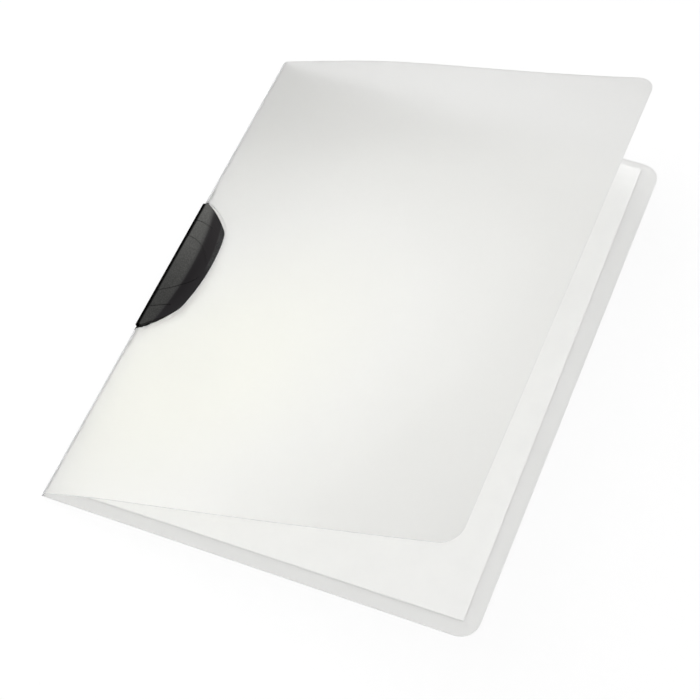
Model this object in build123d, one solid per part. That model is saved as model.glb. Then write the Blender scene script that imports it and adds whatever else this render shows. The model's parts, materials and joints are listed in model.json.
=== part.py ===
from build123d import *
import os
from math import cos, radians, sin, tan

# Clip folder for A4 paper, held open at the angle at which it springs.
# All sizes are millimetres and degrees.
# While it is modelled, X runs from the spine crease to the free edge, Y up the page from the
# middle of the spine, and Z up from the table. At the end everything moves so that the origin
# is the middle of the back cover's underside.

# Covers: one die-cut sheet of polypropylene foil with two pressed creases
cover_width = 225.0
cover_height = 310.0
foil = 0.5
corner_radius = 10.0
spine_width = 3.5
spine_lean = 30.0
back_crease_gap = 0.8
front_crease_gap = 0.5

# Front cover: how it springs up, as rises above its crease at shares of its reach
front_plan_loss = 10.0
knot_shares = (0.102, 0.275, 0.512, 0.765, 1.0)
top_rises = (8.6, 22.1, 36.2, 50.7, 66.4)
middle_rises = (6.3, 21.2, 38.7, 56.0, 74.2)
bottom_rises = (9.8, 23.4, 41.5, 61.9, 81.6)
front_foil_slope = 19.0
start_steepness = 1.12
spring_overrun = 2.0

# Room in the covers for the clip, whose middle lies a little below the middle of the spine
clip_shift = -2.1
spine_end_gap = 2.2
notch_depth = 1.2
window_gap = 1.5

# Paper: A4 sheets of 80 g/m2
sheet_count = 8
sheet_width = 210.0
sheet_height = 297.0
sheet_thickness = 0.10
sheet_air = 0.01
sheet_left = 6.0
sheet_up = 0.75
sheet_skew = 0.42
sheet_stagger = 0.15

# Hinge of the clip
pin_radius = 0.6
pin_running_gap = 0.05
pin_seat_gap = 0.01
barrel_radius = 2.0
barrel_clearance = 0.3
pin_end_wall = 1.0
pin_end_gap = 0.2
knuckle_inner = 19.5
knuckle_outer = 31.0
knuckle_gap = 0.1
lug_neck_back = 0.9

# Clip wing, a moulded half-moon lever
wing_half = 43.1
wing_end = 3.6
shoulder_along = 28.3
shoulder_out = 19.5
shoulder_round = 6.0
lower_shoulder_out = 18.3
lower_shoulder_round = 12.0
wing_reach = 22.7
diagonal_bulge = 0.7
crest_out = 13.4
crest_pull = 5.4
crest_height = 7.4
crest_fall = 1.6
arch_bulge = 0.35
rim_height = 5.5
rim_fall = 0.5
scoop_depth = 0.55
wing_skin = 1.4
rim_wall = 1.2
skirt_height = 3.9
groove_width = 0.45
groove_depth = 0.3
inner_groove_out = 19.2
inner_groove_end = 5.2
inner_groove_mid_out = 11.6
inner_groove_mid = 14.9
outer_groove_out = 13.1
outer_groove_end = 27.2
outer_groove_bow = 0.3
rib_width = 1.0
rib_pitch = 12.5
rib_bottom = 2.9
rib_end = 20.0
nose_out = 16.4
nose_width = 2.0
nose_half = 22.0
nose_gap = 0.1
cam_flat = 0.3

# Clip base, welded in a half-moon seat in the back cover
seat_half = 41.0
seat_out = 17.0
seat_shoulder = 25.0
seat_round = 4.0
seat_belly = 2.0
seat_gap = 0.1
flange_width = 3.0
flange = 0.4
rail_width = 3.0
rail_foot = 0.6
rail_end_gap = 0.3
strake_half = 57.0
strake_near = 1.1
strake_far = 1.9
tongue_half = 5.0
tongue_root = 13.0
tongue_slot = 0.6
tongue_edge = 0.6
nub_width = 0.8
nub_gap = 0.05

# Worked out from the sizes above
crease_height = foil / 2
lean = radians(spine_lean)
front_crease = Vector(spine_width * sin(lean), 0, crease_height + spine_width * cos(lean))
front_reach = cover_width - front_plan_loss - front_crease.X
spine_gap_half = wing_half + spine_end_gap
pin_out = barrel_radius - 0.1
floor_top = foil
pin_height = floor_top + barrel_clearance + barrel_radius
paper_bottom = foil + flange
sheet_pitch = sheet_thickness + sheet_air
paper_top = paper_bottom + sheet_count * sheet_pitch
swing_room = barrel_radius + barrel_clearance

# Tools that cut past a piece reach this far, or this far beyond its faces
tall = 200.0
beyond = 1.0


def span(x_low, x_high, y_low, y_high, z_low, z_high):
    """A block between two opposite corners."""
    block = Box(x_high - x_low, y_high - y_low, z_high - z_low)
    return Pos((x_low + x_high) / 2, (y_low + y_high) / 2, (z_low + z_high) / 2) * block


def rod(radius, y_low, y_high):
    """A cylinder on the clip's hinge axis."""
    body = Cylinder(radius, y_high - y_low, rotation=(90, 0, 0))
    return Pos(pin_out, (y_low + y_high) / 2, pin_height) * body


def upright(face, z_low, z_high):
    """A plan outline drawn up between two heights."""
    return Pos(0, 0, z_low) * extrude(face, z_high - z_low)


def cross_plane(y):
    """The plane across the spine at y, with its local X and Y along the model's X and Z."""
    return Plane(origin=(0, y, 0), x_dir=(1, 0, 0), z_dir=(0, -1, 0))


def half_moon(x_left, half, x_end, along, upper_out, lower_out, reach, grow):
    """Plan outline with a straight spine edge, two slanting ends and a shallow belly, grown all round."""
    slant = grow * tan(radians(22.5))
    half = half + grow
    x_end = x_end + slant
    along = along + slant
    upper = upper_out + grow
    lower = lower_out + grow
    middle = (half + along) / 2 + diagonal_bulge
    edges = [
        Line((x_left, half), (x_left, -half)),
        Line((x_left, -half), (x_end, -half)),
        ThreePointArc((x_end, -half), ((x_end + lower) / 2 + diagonal_bulge, -middle), (lower, -along)),
        ThreePointArc((lower, -along), (reach + grow, 0), (upper, along)),
        ThreePointArc((upper, along), ((x_end + upper) / 2 + diagonal_bulge, middle), (x_end, half)),
        Line((x_end, half), (x_left, half)),
    ]
    return make_face(edges)


def round_shoulders(face, upper_radius, lower_radius):
    """Rounds the two corners of a half-moon between its belly and its slanting ends."""
    found = face.vertices().sort_by(Axis.X)[-2:].sort_by(Axis.Y)
    return fillet(fillet(found[:1], lower_radius).vertices().sort_by_distance(found[1])[:1], upper_radius)


def wing_outline(grow):
    """The wing's plan outline, grown or shrunk all round."""
    face = half_moon(
        pin_out, wing_half, wing_end, shoulder_along, shoulder_out, lower_shoulder_out, wing_reach, grow
    )
    return round_shoulders(face, shoulder_round + grow, lower_shoulder_round + grow)


def seat_outline(grow):
    """The plan outline of the half-moon seat in the back cover, grown or shrunk all round."""
    face = half_moon(0, seat_half, wing_end, seat_shoulder, seat_out, seat_out, seat_out + seat_belly, grow)
    return round_shoulders(face, seat_round + grow, seat_round + grow)


def at_clip(shape):
    """Moves a shape that was drawn around the middle of the clip to the clip's place on the spine."""
    return Pos(0, clip_shift, 0) * shape


def crest_slab(drop, floor):
    """A body whose top is the wing's crested top, lowered by drop, and whose bottom is flat."""
    far = wing_reach + 2 * beyond
    sections = []
    for y in (-wing_half, -shoulder_along, 0, shoulder_along, wing_half):
        share = (abs(y) / wing_half) ** 2
        crest = Vector(crest_out - crest_pull * share, crest_height - crest_fall * share - drop)
        root = Vector(pin_out, pin_height + barrel_radius - drop)
        rim = Vector(far, rim_height - rim_fall * share - drop)
        arch = (root + crest) / 2 + Vector(0, arch_bulge)
        scoop = (crest + rim) / 2 - Vector(0, scoop_depth)
        edges = [
            Line((root.X, floor), (root.X, root.Y)),
            ThreePointArc((root.X, root.Y), (arch.X, arch.Y), (crest.X, crest.Y)),
            ThreePointArc((crest.X, crest.Y), (scoop.X, scoop.Y), (rim.X, rim.Y)),
            Line((rim.X, rim.Y), (far, floor)),
            Line((far, floor), (root.X, floor)),
        ]
        sections.append(cross_plane(y) * make_face(edges))
    return loft(sections)


def groove_band(side, x_end, y_end, x_mid, y_mid, y_start):
    """Plan outline of one curved groove, from the spine edge inwards."""
    edges = []
    ends = []
    for shift in (-groove_width / 2, groove_width / 2):
        start = (pin_out, side * y_start + shift)
        end = (x_end, side * y_end + shift)
        edges.append(ThreePointArc(start, (x_mid, side * y_mid + shift), end))
        ends.append((start, end))
    edges.append(Line(ends[0][0], ends[1][0]))
    edges.append(Line(ends[0][1], ends[1][1]))
    return make_face(edges)


def grooves():
    """The four grooves across the wing, each following its crested top."""
    inner = (inner_groove_out, inner_groove_end, inner_groove_mid_out, inner_groove_mid, knuckle_inner)
    outer_mid = (pin_out + outer_groove_out) / 2
    outer_mid_along = (knuckle_outer + outer_groove_end) / 2 + outer_groove_bow
    outer = (outer_groove_out, outer_groove_end, outer_mid, outer_mid_along, knuckle_outer)
    below = crest_slab(groove_depth, skirt_height - beyond)
    cut = None
    for side in (-1, 1):
        for shape in (inner, outer):
            band = upright(groove_band(side, *shape), skirt_height, crest_height + beyond)
            cut = band if cut is None else cut + band
    return cut - below


def make_clip_wing():
    """The lever: crested skin, rim, ribs, clamping nose and three knuckles."""
    outline = wing_outline(0)
    body = crest_slab(0, skirt_height) & upright(outline, skirt_height - beyond, crest_height + beyond)
    pocket = crest_slab(wing_skin, 0) & upright(wing_outline(-rim_wall), 0, crest_height)
    keep_root = span(-beyond, pin_out + barrel_radius, -wing_half, wing_half, 0, crest_height)
    body = body - (pocket - keep_root)
    under = crest_slab(wing_skin / 2, 0)
    ribs = []
    for step in (-2, -1, 0, 1, 2):
        y = step * rib_pitch
        rib = span(pin_out, rib_end, y - rib_width / 2, y + rib_width / 2, rib_bottom, crest_height)
        ribs.append(rib & under)
    nose_low = paper_top + nose_gap
    nose_left = nose_out - nose_width / 2
    nose = span(nose_left, nose_left + nose_width, -nose_half, nose_half, nose_low, crest_height) & under
    wing = body + nose
    for rib in ribs:
        wing = wing + rib
    wing = wing + rod(barrel_radius, -wing_half, wing_half)
    for side in (-1, 1):
        low, high = sorted((side * knuckle_inner, side * knuckle_outer))
        wing = wing - rod(swing_room, low - knuckle_gap, high + knuckle_gap)
    wing = wing - rod(pin_radius + pin_running_gap, -wing_half - beyond, wing_half - pin_end_wall)
    flat_top = pin_height - barrel_radius + cam_flat
    flat_half = tongue_half + beyond
    flat = span(-beyond, pin_out + barrel_radius, -flat_half, flat_half, 0, flat_top)
    return wing - flat - grooves()


def make_hinge_pin():
    """The steel pin through all five knuckles."""
    pin = rod(pin_radius, -wing_half + pin_end_wall / 2, wing_half - pin_end_wall - pin_end_gap)
    return chamfer(pin.edges().filter_by(GeomType.CIRCLE), pin_radius / 4)


def make_clip_base():
    """The fixed half: floor, welding flange, two knuckles, rails, strakes and a spring tongue."""
    flange_top = floor_top + flange
    left = pin_out - barrel_radius
    inner_edge = pin_out + swing_room
    root_half = seat_half - flange_width
    rail_end = spine_gap_half - rail_end_gap
    swept_half = wing_half + rail_end_gap
    far = seat_out + seat_belly + flange_width
    floor = upright(seat_outline(-seat_gap), 0, foil)
    rim = upright(seat_outline(flange_width), floor_top, flange_top)
    rim = rim & span(inner_edge, far, -strake_half, strake_half, 0, flange_top)
    trough = span(left, inner_edge / 2, -root_half, root_half, 0, floor_top)
    base = floor + rim + trough
    for side in (-1, 1):
        root, end = sorted((side * root_half, side * rail_end))
        base = base + span(left, rail_foot, root, end, 0, flange_top)
        base = base + span(left, strake_far, root, end, floor_top, flange_top)
        root, end = sorted((side * root_half, side * strake_half))
        base = base + span(strake_near, strake_far, root, end, floor_top, flange_top)
    base = base - span(-beyond, inner_edge, -swept_half, swept_half, floor_top, tall)
    for side in (-1, 1):
        low, high = sorted((side * (knuckle_inner + knuckle_gap), side * (knuckle_outer - knuckle_gap)))
        base = base + span(pin_out - lug_neck_back, pin_out + barrel_radius, low, high, 0, pin_height)
        base = base + rod(barrel_radius, low, high)
        low, high = sorted((side * swept_half, side * rail_end))
        base = base + rail(low, high)
    base = base - rod(pin_radius + pin_seat_gap, -wing_half, wing_half)
    return base - tongue_cut() + tongue_nub()


def rail(y_low, y_high):
    """A stretch of the base that stands up in place of the foil's spine."""
    return extrude(cross_plane(y_high) * leaning_strip(rail_width), y_high - y_low)


def leaning_strip(width):
    """Cross-section of the spine: a strip with round edges that leans in over the back cover."""
    strip = SlotCenterToCenter(width, foil, rotation=90 - spine_lean)
    return Pos(width / 2 * sin(lean), crease_height + width / 2 * cos(lean)) * strip


def tongue_cut():
    """The slot round three sides of the spring tongue in the base's floor."""
    left = pin_out - tongue_edge
    slot_half = tongue_half + tongue_slot
    outer = span(left - tongue_slot, tongue_root, -slot_half, slot_half, -beyond, floor_top + beyond)
    return outer - span(left, tongue_root, -tongue_half, tongue_half, -beyond, floor_top + beyond)


def tongue_nub():
    """The raised line on the tongue that the middle knuckle's flat settles on."""
    top = pin_height - barrel_radius - nub_gap
    return span(pin_out - nub_width / 2, pin_out + nub_width / 2, -tongue_half, tongue_half, floor_top, top)


def make_back_cover():
    """The flat cover with rounded free corners and the seat for the clip base."""
    sheet = span(back_crease_gap, cover_width, -cover_height / 2, cover_height / 2, 0, foil)
    corners = sheet.edges().filter_by(Axis.Z).sort_by(Axis.X)[-2:]
    sheet = fillet(corners, corner_radius)
    return sheet - at_clip(upright(seat_outline(0), -beyond, foil + beyond))


def make_spine_strip(y_low, y_high):
    """One stretch of the spine between the two creases."""
    return extrude(cross_plane(y_high) * leaning_strip(spine_width), y_high - y_low)


def front_section(y, rises):
    """Cross-section of the springy front cover at y: a bowed strip as thick as the foil."""
    half = foil / 2 / cos(radians(front_foil_slope))
    start_slope = start_steepness * rises[0] / (knot_shares[0] * front_reach)
    gap = front_crease_gap
    points = [(front_crease.X + gap, front_crease.Z + gap * start_slope)]
    for share, rise in zip(knot_shares, rises):
        points.append((front_crease.X + share * (front_reach + spring_overrun), front_crease.Z + rise))
    middle = Spline(points)
    low = Pos(0, -half) * middle
    high = Pos(0, half) * middle
    edges = [low, Line(low @ 1, high @ 1), high, Line(high @ 0, low @ 0)]
    return cross_plane(y) * make_face(edges)


def make_front_cover():
    """The sprung cover with its rounded corners, clip window and notch at the clip."""
    half = cover_height / 2
    sections = [
        front_section(-half, bottom_rises),
        front_section(0, middle_rises),
        front_section(half, top_rises),
    ]
    sheet = loft(sections)
    free_edge = front_crease.X + front_reach
    trim = span(-beyond, free_edge, -half, half, -beyond, tall)
    corners = trim.edges().filter_by(Axis.Z).sort_by(Axis.X)[-2:]
    sheet = sheet & fillet(corners, corner_radius)
    window_half = wing_half + window_gap
    window = upright(wing_outline(window_gap), 0, tall)
    window = window + span(-beyond, wing_end, -window_half, window_half, 0, tall)
    notch = span(-beyond, front_crease.X + notch_depth, -spine_gap_half, spine_gap_half, 0, tall)
    return sheet - at_clip(window) - at_clip(notch)


def make_sheet(number):
    """One sheet of paper in the stack, counted from the bottom."""
    low = paper_bottom + (number - 1) * sheet_pitch + sheet_air / 2
    stagger = sheet_stagger * sin(number * 2.4)
    sheet = Box(sheet_width, sheet_height, sheet_thickness)
    centre = Pos(sheet_left + sheet_width / 2 + stagger, sheet_up + stagger, low + sheet_thickness / 2)
    return centre * Rot(0, 0, sheet_skew) * sheet


def save(name, shape):
    """Moves a piece to the part's origin and writes it."""
    moved = Pos(-cover_width / 2, 0, 0) * shape
    export_step(moved, os.path.join("parts", name + ".step"))


os.makedirs("parts", exist_ok=True)
save("back_cover", make_back_cover())
save("spine_strip_lower", make_spine_strip(-cover_height / 2, clip_shift - spine_gap_half))
save("spine_strip_upper", make_spine_strip(clip_shift + spine_gap_half, cover_height / 2))
save("front_cover", make_front_cover())
save("clip_base", at_clip(make_clip_base()))
save("hinge_pin", at_clip(make_hinge_pin()))
save("clip_wing", at_clip(make_clip_wing()))
for number in range(1, sheet_count + 1):
    save("paper_sheet_" + str(number), make_sheet(number))
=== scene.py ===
# %% [markdown]
# # A clip folder of frosted foil
#
# The object is an A4 clip folder: a sheet of see-through polypropylene, folded along a narrow
# spine, with a black clip that grips loose paper. The imported model already holds every piece at
# its real size, so this script gives the pieces their finish, lays the paper as a stack of loose
# sheets, closes the creases with thin films, and sets up the light and the camera.

# %% [markdown]
# ## Load the model
#
# The imported model could be imported by hand, but then every piece would have to be moved to its
# place again. The loader puts each piece on the body that it moves with, so a pose of the folder
# can be applied at any time.

# %% Load the imported folder
import bmesh
import bpy
import json
import math
import numpy as np
from mathutils import Matrix, Vector

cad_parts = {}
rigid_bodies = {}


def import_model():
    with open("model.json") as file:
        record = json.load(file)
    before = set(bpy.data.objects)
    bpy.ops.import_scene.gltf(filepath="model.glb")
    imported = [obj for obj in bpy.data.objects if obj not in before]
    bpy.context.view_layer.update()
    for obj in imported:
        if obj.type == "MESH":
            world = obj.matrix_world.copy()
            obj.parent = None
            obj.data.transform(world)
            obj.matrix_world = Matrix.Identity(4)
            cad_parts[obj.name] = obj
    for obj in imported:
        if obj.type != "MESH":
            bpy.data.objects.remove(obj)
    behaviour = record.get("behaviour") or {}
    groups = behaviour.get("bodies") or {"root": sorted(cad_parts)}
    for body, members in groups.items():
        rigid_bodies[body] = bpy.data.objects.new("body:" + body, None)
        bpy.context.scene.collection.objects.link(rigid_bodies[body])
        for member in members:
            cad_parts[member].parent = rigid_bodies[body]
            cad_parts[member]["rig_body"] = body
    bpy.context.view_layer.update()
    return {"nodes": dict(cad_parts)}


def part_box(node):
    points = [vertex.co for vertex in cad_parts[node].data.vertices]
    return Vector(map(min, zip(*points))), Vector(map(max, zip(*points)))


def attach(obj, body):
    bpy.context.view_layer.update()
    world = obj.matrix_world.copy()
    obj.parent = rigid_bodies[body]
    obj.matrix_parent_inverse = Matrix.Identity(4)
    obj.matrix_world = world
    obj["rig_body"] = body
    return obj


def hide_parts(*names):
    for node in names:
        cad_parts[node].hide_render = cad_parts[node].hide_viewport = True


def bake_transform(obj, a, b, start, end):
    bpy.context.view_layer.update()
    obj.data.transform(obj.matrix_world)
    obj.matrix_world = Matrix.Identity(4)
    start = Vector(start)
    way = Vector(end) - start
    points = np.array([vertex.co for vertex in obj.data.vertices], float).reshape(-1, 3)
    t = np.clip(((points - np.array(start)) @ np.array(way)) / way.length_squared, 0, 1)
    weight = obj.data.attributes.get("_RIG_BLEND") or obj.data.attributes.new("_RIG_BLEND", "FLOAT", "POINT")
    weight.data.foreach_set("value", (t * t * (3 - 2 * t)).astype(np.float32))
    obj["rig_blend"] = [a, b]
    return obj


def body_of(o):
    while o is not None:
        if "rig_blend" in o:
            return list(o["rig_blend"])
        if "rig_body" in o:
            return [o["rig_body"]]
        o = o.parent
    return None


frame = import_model()
nodes = frame["nodes"]
print("pieces in the model:", sorted(nodes))

# %% [markdown]
# ## Where things are
#
# Blender works in metres here, and the model was drawn in millimetres. Its origin is the middle
# of the back cover's underside, with X towards the free edge, Y up the page and Z up. It is
# handier to measure from the spine, so the helper below turns millimetres from the spine crease
# into a place in the scene.

# %% Places measured from the spine
MM = 0.001
COVER_WIDTH = 225.0
COVER_HEIGHT = 310.0


def place(x, y, z):
    """A point in metres from millimetres: x from the spine crease, y from the middle, z up."""
    return Vector(((x - COVER_WIDTH / 2) * MM, y * MM, z * MM))


back_low, back_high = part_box("back_cover")
print("back cover from", tuple(back_low), "to", tuple(back_high))

# %% [markdown]
# ## The camera
#
# The photograph looks down on the folder from its lower right with a long lens. The four corners
# of the back cover fix the camera completely: its place, its direction and its lens. A long lens
# keeps the sides of the folder nearly parallel, as product photographs have them.

# %% Camera at the photograph's angle
CAMERA_AT = place(346.74, -425.16 - COVER_HEIGHT / 2, 848.38)
CAMERA_AHEAD = Vector((-0.2271, 0.5373, -0.8123))
CAMERA_UP = Vector((-0.2876, 0.7598, 0.583))
SENSOR = 36.0
PHOTO_WIDTH = 700
FOCAL_PIXELS = 2022.3
LENS = FOCAL_PIXELS / PHOTO_WIDTH * SENSOR
FAR_AWAY = 20.0


def make_camera():
    """The camera, turned so that it looks along CAMERA_AHEAD with CAMERA_UP upwards."""
    data = bpy.data.cameras.new("camera")
    data.sensor_width = SENSOR
    data.sensor_fit = "HORIZONTAL"
    data.lens = LENS
    data.clip_end = FAR_AWAY
    camera = bpy.data.objects.new("camera", data)
    bpy.context.scene.collection.objects.link(camera)
    back = -CAMERA_AHEAD.normalized()
    right = CAMERA_UP.cross(back).normalized()
    up = back.cross(right)
    turn = Matrix((right, up, back)).transposed().to_4x4()
    camera.matrix_world = Matrix.Translation(CAMERA_AT) @ turn
    bpy.context.scene.camera = camera
    print("camera", tuple(round(v, 3) for v in CAMERA_AT), "lens", round(LENS, 1))


make_camera()

# %% [markdown]
# ## Small helpers for materials
#
# Every finish here is a node tree, so it has detail at any distance and needs no picture files.
# Short helpers keep the trees readable: they make a material with one Principled shader, add a
# node with its settings, split a place into its coordinates, step smoothly between two values,
# mix two colours, and wire a noise into a bump.


# %% Material helpers
def new_material(name, **values):
    """A material with one Principled shader, whose plain values sit on its own sockets."""
    material = bpy.data.materials.new(name)
    material.use_nodes = True
    shader = material.node_tree.nodes["Principled BSDF"]
    for socket, value in values.items():
        shader.inputs[socket.replace("_", " ")].default_value = value
    return material, material.node_tree, shader


def add(tree, kind, **settings):
    """One node; a setting names a property, or an input socket when it starts with in_."""
    node = tree.nodes.new(kind)
    for key, value in settings.items():
        if key.startswith("in_"):
            node.inputs[key[3:].replace("_", " ")].default_value = value
        else:
            setattr(node, key, value)
    return node


def fine_noise(tree, scale, detail=2.0, roughness=0.5):
    """A noise on the piece's own coordinates; scale is in cells per metre."""
    where = add(tree, "ShaderNodeTexCoord")
    settings = {"in_Scale": scale, "in_Detail": detail, "in_Roughness": roughness}
    noise = add(tree, "ShaderNodeTexNoise", **settings)
    tree.links.new(where.outputs["Object"], noise.inputs["Vector"])
    return noise


def bump_from(tree, shader, height, strength, distance):
    """Feeds a height into the shader's normal."""
    bump = add(tree, "ShaderNodeBump", in_Strength=strength, in_Distance=distance)
    tree.links.new(height, bump.inputs["Height"])
    tree.links.new(bump.outputs["Normal"], shader.inputs["Normal"])
    return bump


def coordinates(tree):
    """The place on the piece, split into X, Y and Z."""
    where = add(tree, "ShaderNodeTexCoord")
    parts = add(tree, "ShaderNodeSeparateXYZ")
    tree.links.new(where.outputs["Object"], parts.inputs["Vector"])
    return parts


def product(tree, first, second):
    """Two values multiplied."""
    node = add(tree, "ShaderNodeMath", operation="MULTIPLY")
    tree.links.new(first, node.inputs[0])
    tree.links.new(second, node.inputs[1])
    return node.outputs[0]


def ramp_value(tree, value, low, high, to_low=0.0, to_high=1.0):
    """A smooth step of one value between two places, given in metres or plain numbers."""
    node = add(tree, "ShaderNodeMapRange", interpolation_type="SMOOTHSTEP")
    node.inputs["From Min"].default_value = low
    node.inputs["From Max"].default_value = high
    node.inputs["To Min"].default_value = to_low
    node.inputs["To Max"].default_value = to_high
    tree.links.new(value, node.inputs["Value"])
    return node.outputs["Result"]


def blend_colour(tree, factor, first, second):
    """A mix of two colours; each is a tuple or a socket."""
    mix = add(tree, "ShaderNodeMix", data_type="RGBA")
    tree.links.new(factor, mix.inputs["Factor"])
    for index, colour in ((6, first), (7, second)):
        if isinstance(colour, tuple):
            mix.inputs[index].default_value = (*colour, 1.0)
        else:
            tree.links.new(colour, mix.inputs[index])
    return mix.outputs[2]


# %% [markdown]
# ## Frosted foil
#
# The covers are half a millimetre of polypropylene with a matte, slightly pebbled face. Light
# goes through it but is scattered on the way, so paper that touches it shows clearly and paper
# further away blurs. A rough transmission does exactly that: the further the thing behind, the
# wider the blur. On the sprung cover, light and shade are also painted into the foil's colour: a
# painted pool of light where the foil faces the light, bright and a little warm near the clip and
# below it, that fades to painted shade, greyer towards the free edge, and a painted shadow as a
# greyer band along the top. Painting that by hand would fix it to one picture size, so the painted
# tone is a function of the place on the sheet instead: a stretched and turned distance from the
# brightest spot.


# %% Frosted foil materials
FOIL_VALUES = {"Transmission_Weight": 0.72, "IOR": 1.3, "Roughness": 0.42}
PEBBLES = 2600.0
# Painted light: where the painted pool of light is brightest, and the sizes and turn of its fade into
# painted shade.
PAINTED_LIGHT_SPOT = (48.0, -68.0)
FADE = (130.0, 195.0)
FADE_TURN = math.radians(-38.5)
FLAT = 1000.0
# Painted light and shade tones: warm white at the lit spot, greyer tones towards the free edge.
PAINTED_LIGHT_WHITE = (1.0, 1.0, 0.965, 1)
PAINTED_SHADE_TONES = ((0.3, 0.955), (0.5, 0.875))
WARMTH = 0.012
PAINTED_SHADE_GREY = (0.81, 0.81, 0.8, 1)
# Painted shadow: a greyer band along the top of the front cover, from the first height to the second, in
# millimetres.
PAINTED_SHADOW_BAND = (72.0, 112.0)
PAINTED_SHADOW_TONE = 0.965


def pebble_foil(name, colour):
    """Plain frosted foil of one tone."""
    material, tree, shader = new_material(name, Base_Color=(*colour, 1.0), **FOIL_VALUES)
    pebbles = fine_noise(tree, PEBBLES, 3.0)
    bump_from(tree, shader, pebbles.outputs["Fac"], 0.25, 0.00004)
    return material, tree, shader


def stretched_distance(tree, middle, sizes):
    """The distance from a place on the sheet, in units of the two given sizes."""
    where = add(tree, "ShaderNodeTexCoord")
    mapping = add(tree, "ShaderNodeMapping")
    spot = place(middle[0], middle[1], 0)
    mapping.vector_type = "TEXTURE"
    mapping.inputs["Location"].default_value = spot
    mapping.inputs["Rotation"].default_value = (0.0, 0.0, FADE_TURN)
    mapping.inputs["Scale"].default_value = (sizes[0] * MM, sizes[1] * MM, FLAT)
    tree.links.new(where.outputs["Object"], mapping.inputs["Vector"])
    length = add(tree, "ShaderNodeVectorMath", operation="LENGTH")
    tree.links.new(mapping.outputs["Vector"], length.inputs[0])
    return length.outputs["Value"]


def make_front_foil():
    """Foil with painted light: a painted bright spot that fades to painted shade, and a painted shadow band
    along the top.
    """
    material, tree, shader = pebble_foil("front_foil", (0.93, 0.93, 0.92))
    # The ramp paints light and shade: bright at the painted light spot, greyer further away.
    ramp = add(tree, "ShaderNodeValToRGB")
    stops = ramp.color_ramp.elements
    stops[0].position = 0.1
    stops[0].color = PAINTED_LIGHT_WHITE
    stops[1].position = 0.75
    stops[1].color = PAINTED_SHADE_GREY
    for position, tone in PAINTED_SHADE_TONES:
        stops.new(position).color = (tone, tone, tone - WARMTH, 1)
    half = add(tree, "ShaderNodeMath", operation="MULTIPLY")
    half.inputs[1].default_value = 0.5
    tree.links.new(stretched_distance(tree, PAINTED_LIGHT_SPOT, FADE), half.inputs[0])
    tree.links.new(half.outputs[0], ramp.inputs["Fac"])
    # A painted shadow band darkens the top of the cover.
    up = coordinates(tree).outputs["Y"]
    shadow_band = ramp_value(tree, up, PAINTED_SHADOW_BAND[0] * MM, PAINTED_SHADOW_BAND[1] * MM, 1.0, PAINTED_SHADOW_TONE)
    toned = add(tree, "ShaderNodeVectorMath", operation="SCALE")
    tree.links.new(ramp.outputs["Color"], toned.inputs[0])
    tree.links.new(shadow_band, toned.inputs["Scale"])
    tree.links.new(toned.outputs[0], shader.inputs["Base Color"])
    return material


def make_cut_edge(name, tone):
    """Foil where the punch cut through it, in a given tone: white as a painted highlight in the window, grey
    as painted shade round the outside.
    """
    material, tree, shader = new_material(name, Base_Color=(tone, tone, tone, 1), Roughness=0.6)
    marks = fine_noise(tree, 1500.0, 2.0)
    bump_from(tree, shader, marks.outputs["Fac"], 0.2, 0.00003)
    return material


front_foil = make_front_foil()
back_foil = pebble_foil("back_foil", (0.89, 0.89, 0.88))[0]
spine_foil = pebble_foil("spine_foil", (0.9, 0.9, 0.9))[0]
# Cut-edge colours are painted light: grey as painted shade round the outside, white as a painted highlight
# in the window.
outer_edge_shade = make_cut_edge("outer_cut_edge_shade", 0.72)
window_edge_highlight = make_cut_edge("window_cut_edge_highlight", 0.98)

# %% [markdown]
# ## Office paper
#
# Paper is nearly white and quite matte. A plain white would look like plastic, so a faint cloud
# of fibres varies the tone by a few per cent, and a fine bump roughens the face.


# %% Paper material
def make_paper():
    """Matte paper with a cloudy tone."""
    material, tree, shader = new_material("white_paper", Roughness=0.85, Specular_IOR_Level=0.3)
    clouds = fine_noise(tree, 60.0, 4.0, 0.6)
    ramp = add(tree, "ShaderNodeValToRGB")
    ramp.color_ramp.elements[0].color = (0.91, 0.91, 0.90, 1)
    ramp.color_ramp.elements[1].color = (0.965, 0.965, 0.95, 1)
    tree.links.new(clouds.outputs["Fac"], ramp.inputs["Fac"])
    tree.links.new(ramp.outputs["Color"], shader.inputs["Base Color"])
    fibres = fine_noise(tree, 3000.0, 3.0)
    bump_from(tree, shader, fibres.outputs["Fac"], 0.2, 0.00003)
    return material


paper = make_paper()

# %% [markdown]
# ## Black clip plastic
#
# The clip is moulded in black. Its half next to the spine has a fine spark grain that looks
# dark grey in the light, and beyond the crest the surface is smoother. The grained half is also
# painted lighter and the smooth half darker, as painted light and shade on the two slopes of the
# crest, and the whole clip is painted lighter towards the top as painted light. The barrel along
# the spine is painted blackest, as painted shade on its side wall, and the rim of the upper half
# has a slightly lighter, mottled painted highlight on its lip.
# Moulded edges are never sharp, so the shading rounds them by a fraction of a millimetre.
# Separate materials would leave hard borders between these zones. One material with smooth steps
# between them follows the crest, which bows towards the spine at both ends of the clip.

# %% Clip material
CREST_OUT = 13.4
CREST_PULL = 5.4
WING_HALF = 43.1
CLIP_MIDDLE = -2.1
BARREL_OUT = 2.1
LIP_OUT = 19.8
LIP_PULL = 3.2
LIP_HALF = 28.3
CREST_FADE = (-3.0, 1.5)
BARREL_FADE = (-0.5, 0.8)
LIP_FADE = 0.8
# Painted light: the clip's colours get lighter from the first height to the second, in millimetres.
PAINTED_LIGHT_RISE = (-30.0, 50.0)
UPPER_HALF = (-4.0, 4.0)
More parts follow.
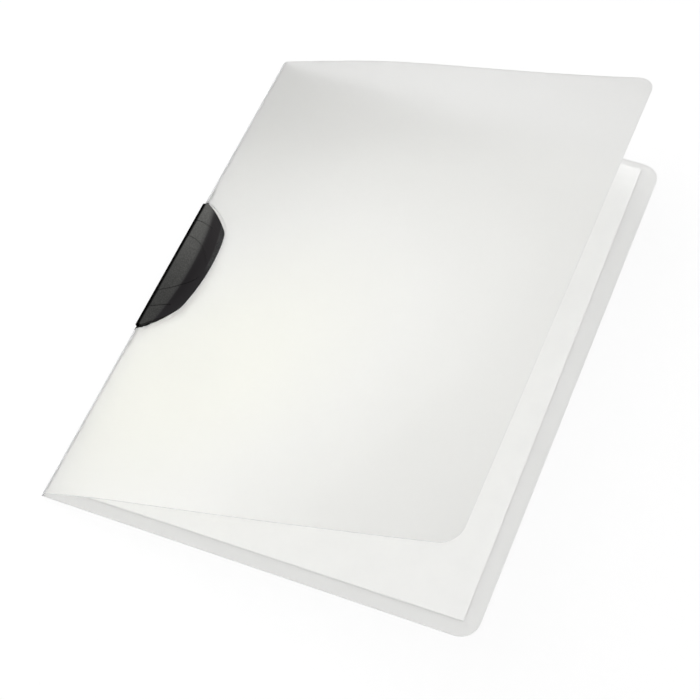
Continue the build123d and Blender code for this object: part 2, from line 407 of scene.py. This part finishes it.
# Painted light and shade: the grained half's speckle tones are lifted as painted light and the smooth half
# is darker as painted shade; each pair runs from the bottom of the clip to the top.
LIT_GRAIN_DARK = ((0.006, 0.006, 0.005), (0.058, 0.058, 0.054))
LIT_GRAIN_LIGHT = ((0.024, 0.024, 0.022), (0.095, 0.095, 0.09))
SMOOTH_SHADED_BLACK = ((0.005, 0.004, 0.005), (0.016, 0.014, 0.015))
# Painted highlight: a lighter grey on the lip of the upper rim.
LIP_PAINTED_HIGHLIGHT = (0.034, 0.034, 0.034)
# Painted shade: the barrel along the spine is made blackest.
BARREL_PAINTED_SHADE = (0.002, 0.002, 0.002)
EDGE_ROUND = 0.4


def step_at(tree, value, out, fade):
    """A smooth step across a place out from the spine; fade is where it starts and ends."""
    start = place(out + fade[0], 0, 0).x
    end = place(out + fade[1], 0, 0).x
    return ramp_value(tree, value, start, end)


def bowed_out(tree, parts, pull, half):
    """X plus a bow that grows with the square of the distance along the clip."""
    shifted = add(tree, "ShaderNodeMath", operation="SUBTRACT")
    shifted.inputs[1].default_value = CLIP_MIDDLE * MM
    tree.links.new(parts.outputs["Y"], shifted.inputs[0])
    square = add(tree, "ShaderNodeMath", operation="POWER")
    square.inputs[1].default_value = 2.0
    tree.links.new(shifted.outputs[0], square.inputs[0])
    bow = add(tree, "ShaderNodeMath", operation="MULTIPLY_ADD")
    bow.inputs[1].default_value = pull * MM / (half * MM) ** 2
    tree.links.new(square.outputs[0], bow.inputs[0])
    tree.links.new(parts.outputs["X"], bow.inputs[2])
    return bow.outputs[0]


def make_clip_black():
    """Black plastic in four zones, with painted light and shade: a shaded barrel, a lit grained half, a
    shaded smooth half, and a highlight on the lip.
    """
    material, tree, shader = new_material("black_clip")
    links = tree.links
    parts = coordinates(tree)
    out = parts.outputs["X"]
    up = parts.outputs["Y"]
    outer_side = step_at(tree, bowed_out(tree, parts, CREST_PULL, WING_HALF), CREST_OUT, CREST_FADE)
    beyond_barrel = step_at(tree, out, BARREL_OUT, BARREL_FADE)
    # Painted light: the clip gets lighter towards the top.
    lit_towards_top = ramp_value(tree, up, PAINTED_LIGHT_RISE[0] * MM, PAINTED_LIGHT_RISE[1] * MM)
    dark = blend_colour(tree, lit_towards_top, *LIT_GRAIN_DARK)
    light = blend_colour(tree, lit_towards_top, *LIT_GRAIN_LIGHT)
    grains = ramp_value(tree, fine_noise(tree, 1500.0, 4.0, 0.65).outputs["Fac"], 0.42, 0.64)
    inner = blend_colour(tree, grains, dark, light)
    outer = blend_colour(tree, lit_towards_top, *SMOOTH_SHADED_BLACK)
    # Painted light and shade: the grained half lighter, the smooth half beyond the crest darker.
    body = blend_colour(tree, outer_side, inner, outer)
    # Painted highlight: a mottled lighter lip on the upper half of the rim.
    on_lip = step_at(tree, bowed_out(tree, parts, LIP_PULL, LIP_HALF), LIP_OUT, (0, LIP_FADE))
    upper = ramp_value(tree, up, UPPER_HALF[0] * MM, UPPER_HALF[1] * MM)
    mottle = ramp_value(tree, fine_noise(tree, 1900.0, 4.0).outputs["Fac"], 0.3, 0.65)
    lip_highlight = product(tree, product(tree, on_lip, upper), mottle)
    with_lip_highlight = blend_colour(tree, lip_highlight, body, LIP_PAINTED_HIGHLIGHT)
    # Painted shade: the barrel's side wall is made blackest.
    whole = blend_colour(tree, beyond_barrel, BARREL_PAINTED_SHADE, with_lip_highlight)
    links.new(whole, shader.inputs["Base Color"])
    links.new(ramp_value(tree, outer_side, 0, 1, 0.6, 0.38), shader.inputs["Roughness"])
    shine = product(tree, ramp_value(tree, outer_side, 0, 1, 0.26, 0.11), beyond_barrel)
    links.new(shine, shader.inputs["Specular IOR Level"])
    grain = fine_noise(tree, 2200.0, 3.0)
    bump = bump_from(tree, shader, grain.outputs["Fac"], 0.5, 0.0002)
    links.new(ramp_value(tree, outer_side, 0, 1, 0.7, 0.12), bump.inputs["Strength"])
    rounded = add(tree, "ShaderNodeBevel", samples=6)
    rounded.inputs["Radius"].default_value = EDGE_ROUND * MM
    links.new(rounded.outputs["Normal"], bump.inputs["Normal"])
    return material


clip_black = make_clip_black()

# %% [markdown]
# ## Hinge pin
#
# The wing turns on a pin of drawn steel wire, of which only the ends can be seen. It is bright,
# with a faint unevenness that keeps the highlight from looking like chrome.


# %% Steel material
def make_steel():
    """Drawn steel wire."""
    material, tree, shader = new_material(
        "steel_pin", Base_Color=(0.6, 0.6, 0.61, 1), Metallic=1.0, Roughness=0.32
    )
    lines = fine_noise(tree, 900.0, 2.0)
    bump_from(tree, shader, lines.outputs["Fac"], 0.15, 0.00002)
    return material


steel = make_steel()

# %% [markdown]
# ## Finish every imported piece
#
# The covers, the spine and the clip keep their imported meshes and only change material, because
# their shapes are exact already. Where the punch cut the foil, the narrow upright faces get a
# cut-edge colour with painted light: a white painted highlight in the clip's window, and grey
# painted shade round the outside. The faces are found by their direction, so no list of face
# numbers is needed.


# %% Assign the finishes
UPRIGHT = 0.35
WINDOW_OUT = 28.0
WINDOW_ALONG = 50.0


def finish_node(name, material):
    """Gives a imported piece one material."""
    node = nodes[name]
    node.data.materials.clear()
    node.data.materials.append(material)


def finish_edges(name, shaded_edge, lit_edge):
    """Gives the narrow upright faces of a foil piece their cut-edge colour: painted highlight in the window,
    painted shade elsewhere.
    """
    mesh = nodes[name].data
    mesh.materials.append(shaded_edge)
    mesh.materials.append(lit_edge)
    window_x = place(WINDOW_OUT, 0, 0).x
    for polygon in mesh.polygons:
        if abs(polygon.normal.z) < UPRIGHT:
            near_spine = polygon.center.x < window_x
            near_clip = abs(polygon.center.y) < WINDOW_ALONG * MM
            polygon.material_index = 2 if near_spine and near_clip else 1


for name in nodes:
    if name.startswith("clip"):
        finish_node(name, clip_black)
    elif name == "hinge_pin":
        finish_node(name, steel)
    elif name.startswith("spine"):
        finish_node(name, spine_foil)
finish_node("back_cover", back_foil)
finish_node("front_cover", front_foil)
finish_edges("back_cover", outer_edge_shade, outer_edge_shade)
finish_edges("front_cover", outer_edge_shade, window_edge_highlight)
print("finished", len(nodes), "pieces")

# %% [markdown]
# ## The paper stack
#
# Loose office sheets never lie quite edge on edge. One Geometry Nodes tree lays the sheets: a
# line of points up the stack, each nudged a little at random, and one thin sheet on each point.
# Eight sheets in one tree are easier to change than eight separate meshes.

# %% Lay the sheets of paper
SHEETS = 8
SHEET_SIZE = (210.0, 297.0, 0.10)
SHEET_PITCH = 0.11
SHEET_MIDDLE = (111.0, 0.75, 0.955)
SHEET_SKEW = 0.42
SHEET_NUDGE = 0.15
SHEET_POINTS = (15, 22)
STACK_SEED = 5


def body_named(name):
    """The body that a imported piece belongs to."""
    return body_of(nodes[name])[0]


def add_input(tree, name, kind, value):
    """A named input of a node tree."""
    socket = tree.interface.new_socket(name, in_out="INPUT", socket_type=kind)
    if value is not None:
        socket.default_value = value


def make_stack_tree():
    """The tree: points up the stack, nudged at random, with one sheet on each."""
    tree = bpy.data.node_groups.new("paper_stack", "GeometryNodeTree")
    add_input(tree, "Geometry", "NodeSocketGeometry", None)
    add_input(tree, "Sheets", "NodeSocketInt", SHEETS)
    add_input(tree, "Pitch", "NodeSocketFloat", SHEET_PITCH * MM)
    add_input(tree, "Nudge", "NodeSocketFloat", SHEET_NUDGE * MM)
    add_input(tree, "Skew", "NodeSocketFloat", math.radians(SHEET_SKEW))
    add_input(tree, "Material", "NodeSocketMaterial", None)
    tree.interface.new_socket("Geometry", in_out="OUTPUT", socket_type="NodeSocketGeometry")
    given = add(tree, "NodeGroupInput")
    step = add(tree, "ShaderNodeCombineXYZ")
    tree.links.new(given.outputs["Pitch"], step.inputs["Z"])
    line = add(tree, "GeometryNodeMeshLine")
    tree.links.new(given.outputs["Sheets"], line.inputs["Count"])
    tree.links.new(step.outputs[0], line.inputs["Offset"])
    sway = add(tree, "FunctionNodeRandomValue", data_type="FLOAT_VECTOR")
    sway.inputs[0].default_value = (-1, -1, 0)
    sway.inputs[1].default_value = (1, 1, 0)
    sway.inputs["Seed"].default_value = STACK_SEED
    scaled = add(tree, "ShaderNodeVectorMath", operation="SCALE")
    tree.links.new(sway.outputs[0], scaled.inputs[0])
    tree.links.new(given.outputs["Nudge"], scaled.inputs["Scale"])
    nudged = add(tree, "GeometryNodeSetPosition")
    tree.links.new(line.outputs["Mesh"], nudged.inputs["Geometry"])
    tree.links.new(scaled.outputs[0], nudged.inputs["Offset"])
    sheet = add(tree, "GeometryNodeMeshCube")
    sheet.inputs["Size"].default_value = [size * MM for size in SHEET_SIZE]
    sheet.inputs["Vertices X"].default_value = SHEET_POINTS[0]
    sheet.inputs["Vertices Y"].default_value = SHEET_POINTS[1]
    turn = add(tree, "ShaderNodeCombineXYZ")
    tree.links.new(given.outputs["Skew"], turn.inputs["Z"])
    copies = add(tree, "GeometryNodeInstanceOnPoints")
    tree.links.new(nudged.outputs["Geometry"], copies.inputs["Points"])
    tree.links.new(sheet.outputs["Mesh"], copies.inputs["Instance"])
    tree.links.new(turn.outputs[0], copies.inputs["Rotation"])
    real = add(tree, "GeometryNodeRealizeInstances")
    tree.links.new(copies.outputs["Instances"], real.inputs["Geometry"])
    painted = add(tree, "GeometryNodeSetMaterial")
    tree.links.new(real.outputs["Geometry"], painted.inputs["Geometry"])
    tree.links.new(given.outputs["Material"], painted.inputs["Material"])
    result = add(tree, "NodeGroupOutput")
    tree.links.new(painted.outputs["Geometry"], result.inputs["Geometry"])
    return tree


def run_tree(name, tree, settings):
    """Runs a tree on an empty mesh and returns the result as an object with a plain mesh."""
    made = bpy.data.objects.new(name, bpy.data.meshes.new(name))
    bpy.context.scene.collection.objects.link(made)
    modifier = made.modifiers.new("nodes", "NODES")
    modifier.node_group = tree
    for item in tree.interface.items_tree:
        if item.in_out == "INPUT" and item.name in settings:
            modifier[item.identifier] = settings[item.name]
    graph = bpy.context.evaluated_depsgraph_get()
    plain = bpy.data.meshes.new_from_object(made.evaluated_get(graph))
    made.modifiers.remove(modifier)
    made.data = plain
    return made


def lay_paper():
    """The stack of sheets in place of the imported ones, lying on the back cover."""
    stack = run_tree("paper_stack", make_stack_tree(), {"Material": paper})
    stack.data.transform(Matrix.Translation(place(*SHEET_MIDDLE)))
    sheets = [name for name in nodes if name.startswith("paper_sheet")]
    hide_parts(*sheets)
    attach(stack, body_named(sheets[0]))
    print("paper stack:", len(stack.data.polygons), "faces for", len(sheets), "sheets")


lay_paper()

# %% [markdown]
# ## The pressed creases
#
# Covers and spine are one sheet of foil in reality, folded along two pressed lines where the foil
# is thinner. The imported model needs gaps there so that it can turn. These thin films close the
# gaps: each is a narrow strip of foil that bends between the two pieces that it joins. One wide
# sheet for covers and spine would also close them, but it couldn't be turned as rigid pieces.

# %% Crease films
CREASE_HEIGHT = 0.25
SPINE_WIDTH = 3.5
SPINE_LEAN = math.radians(30.0)
FRONT_CREASE_OUT = SPINE_WIDTH * math.sin(SPINE_LEAN)
FRONT_CREASE_UP = CREASE_HEIGHT + SPINE_WIDTH * math.cos(SPINE_LEAN)
STRETCHES = ((-155.0, -47.4), (43.2, 155.0))
FILM_THICK = 0.34
FRONT_RUN = 21.75
FIRST_RISE = (6.3, -0.6, 2.9)
START_STEEPNESS = 1.12
BACK_GAP = 0.85
FRONT_GAP = 0.55
ROWS = 25
STEPS = 4


def film_mesh(name, rows):
    """A closed strip of foil round rows of centre points, each row going across the crease."""
    across = len(rows[0])
    points = []
    for row in rows:
        for side in (-1, 1):
            for index, (x, y, z) in enumerate(row):
                ahead = row[min(index + 1, across - 1)]
                behind = row[max(index - 1, 0)]
                run = Vector((ahead[0] - behind[0], 0, ahead[2] - behind[2])).normalized()
                lift = Vector((-run.z, 0, run.x)) * side * FILM_THICK / 2
                points.append(place(x + lift.x, y, z + lift.z))
    wide = 2 * across
    ring = list(range(across)) + list(range(wide - 1, across - 1, -1))
    faces = []
    for r in range(len(rows) - 1):
        base = r * wide
        for k, corner in enumerate(ring):
            first = base + corner
            second = base + ring[(k + 1) % wide]
            faces.append((first, first + wide, second + wide, second))
    for base in (0, (len(rows) - 1) * wide):
        for i in range(across - 1):
            quad = (base + i, base + i + 1, base + across + i + 1, base + across + i)
            faces.append(quad if base == 0 else quad[::-1])
    mesh = bpy.data.meshes.new(name)
    mesh.from_pydata(points, [], faces)
    mesh.materials.append(spine_foil)
    film = bpy.data.objects.new(name, mesh)
    bpy.context.scene.collection.objects.link(film)
    return film


def face_outwards(film):
    """Turns the faces of a closed mesh outwards."""
    shape = bmesh.new()
    shape.from_mesh(film.data)
    bmesh.ops.recalc_face_normals(shape, faces=shape.faces)
    shape.to_mesh(film.data)
    shape.free()


def front_slope(y):
    """How steeply the front cover starts at y, which varies because the cover is sprung."""
    t = y / (COVER_HEIGHT / 2)
    first_rise = FIRST_RISE[0] + FIRST_RISE[1] * t + FIRST_RISE[2] * t * t
    return START_STEEPNESS * first_rise / FRONT_RUN


def across_back(y):
    """Points from the spine's foot to the back cover."""
    return [(BACK_GAP * k / STEPS, y, CREASE_HEIGHT) for k in range(STEPS + 1)]


def across_front(y):
    """Points from the spine's top to the front cover."""
    row = []
    for k in range(STEPS + 1):
        run = FRONT_GAP * k / STEPS
        row.append((FRONT_CREASE_OUT + run, y, FRONT_CREASE_UP + front_slope(y) * run))
    return row


def make_films():
    """Two films on each side of the clip: spine to back cover, and spine to front cover."""
    back = body_named("back_cover")
    spine = body_named("spine_strip_lower")
    front = body_named("front_cover")
    for label, (low, high) in zip(("lower", "upper"), STRETCHES):
        ys = np.linspace(low, high, ROWS)
        middle = (low + high) / 2
        film = film_mesh("back_crease_" + label, [across_back(y) for y in ys])
        face_outwards(film)
        start = place(0, middle, CREASE_HEIGHT)
        end = place(BACK_GAP, middle, CREASE_HEIGHT)
        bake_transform(film, spine, back, start, end)
        film = film_mesh("front_crease_" + label, [across_front(y) for y in ys])
        face_outwards(film)
        start = place(FRONT_CREASE_OUT, middle, FRONT_CREASE_UP)
        end = place(FRONT_CREASE_OUT + FRONT_GAP, middle, FRONT_CREASE_UP)
        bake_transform(film, spine, front, start, end)
    print("crease films: 4 strips of foil", FILM_THICK, "mm thick")


make_films()

# %% [markdown]
# ## Light and surroundings
#
# Product photographs of white things are lit softly from above, with a pale table that fades
# into a white background. The world and two large lamps give the light. Camera rays see the
# floor as white, and so do rays that pass through the foil or glance off the clip. The floor
# keeps a share of its real shading, so that the folder's soft shadow still shows.


# %% World, floor and lamps
WHITE = (1.0, 1.0, 1.0, 1)
WORLD_LIGHT = 0.7
FLOOR_SIZE = 3.0
FLOOR_DOWN = 0.0002
FLOOR_GREY = (0.9, 0.9, 0.9, 1)
FLOOR_WHITE_SHARE = 0.85
LAMPS = {
    "overhead_left": ((-0.7, 0.32, 1.35), 1.2, 13.0),
    "front_right": ((0.9, -0.9, 1.0), 1.0, 3.8),
}


def see_white(tree, share_white):
    """A factor that is share_white for camera, mirror and see-through rays, and 0 for the rest."""
    path = add(tree, "ShaderNodeLightPath")
    first = add(tree, "ShaderNodeMath", operation="MAXIMUM")
    second = add(tree, "ShaderNodeMath", operation="MAXIMUM")
    share = add(tree, "ShaderNodeMath", operation="MULTIPLY")
    share.inputs[1].default_value = share_white
    tree.links.new(path.outputs["Is Camera Ray"], first.inputs[0])
    tree.links.new(path.outputs["Is Glossy Ray"], first.inputs[1])
    tree.links.new(first.outputs[0], second.inputs[0])
    tree.links.new(path.outputs["Is Transmission Ray"], second.inputs[1])
    tree.links.new(second.outputs[0], share.inputs[0])
    return share.outputs[0]


def make_world():
    """An even light from all round, seen as white."""
    world = bpy.data.worlds.new("studio")
    bpy.context.scene.world = world
    world.use_nodes = True
    tree = world.node_tree
    light = tree.nodes["Background"]
    light.inputs["Color"].default_value = WHITE
    light.inputs["Strength"].default_value = WORLD_LIGHT
    white = add(tree, "ShaderNodeBackground", in_Strength=1.0)
    white.inputs["Color"].default_value = WHITE
    mix = add(tree, "ShaderNodeMixShader")
    tree.links.new(see_white(tree, 1.0), mix.inputs[0])
    tree.links.new(light.outputs[0], mix.inputs[1])
    tree.links.new(white.outputs[0], mix.inputs[2])
    tree.links.new(mix.outputs[0], tree.nodes["World Output"].inputs["Surface"])


def make_floor():
    """A pale table under the folder, which isn't part of the object."""
    data = bpy.data.meshes.new("floor")
    size = FLOOR_SIZE
    corners = [(-size, -size), (size, -size), (size, size), (-size, size)]
    data.from_pydata([(x, y, -FLOOR_DOWN) for x, y in corners], [], [(0, 1, 2, 3)])
    floor = bpy.data.objects.new("floor", data)
    bpy.context.scene.collection.objects.link(floor)
    material, tree, shader = new_material("pale_floor", Base_Color=FLOOR_GREY, Roughness=0.9)
    white = add(tree, "ShaderNodeEmission", in_Strength=1.0)
    mix = add(tree, "ShaderNodeMixShader")
    tree.links.new(see_white(tree, FLOOR_WHITE_SHARE), mix.inputs[0])
    tree.links.new(shader.outputs[0], mix.inputs[1])
    tree.links.new(white.outputs[0], mix.inputs[2])
    tree.links.new(mix.outputs[0], tree.nodes["Material Output"].inputs["Surface"])
    data.materials.append(material)


def make_lamp(name, at, size, power):
    """A square lamp that faces the folder."""
    data = bpy.data.lights.new(name, "AREA")
    data.shape = "SQUARE"
    data.size = size
    data.energy = power
    lamp = bpy.data.objects.new(name, data)
    bpy.context.scene.collection.objects.link(lamp)
    lamp.location = at
    lamp.rotation_euler = (Vector((0, 0, 0)) - Vector(at)).to_track_quat("-Z", "Y").to_euler()


make_world()
make_floor()
for name, (at, size, power) in LAMPS.items():
    make_lamp(name, at, size, power)
print("lamps:", sorted(LAMPS))

# %% [markdown]
# ## Colours
#
# The tones above were chosen for a plain display transform, which shows a colour as it is
# written.

# %% Colours as written
bpy.context.scene.view_settings.view_transform = "Standard"
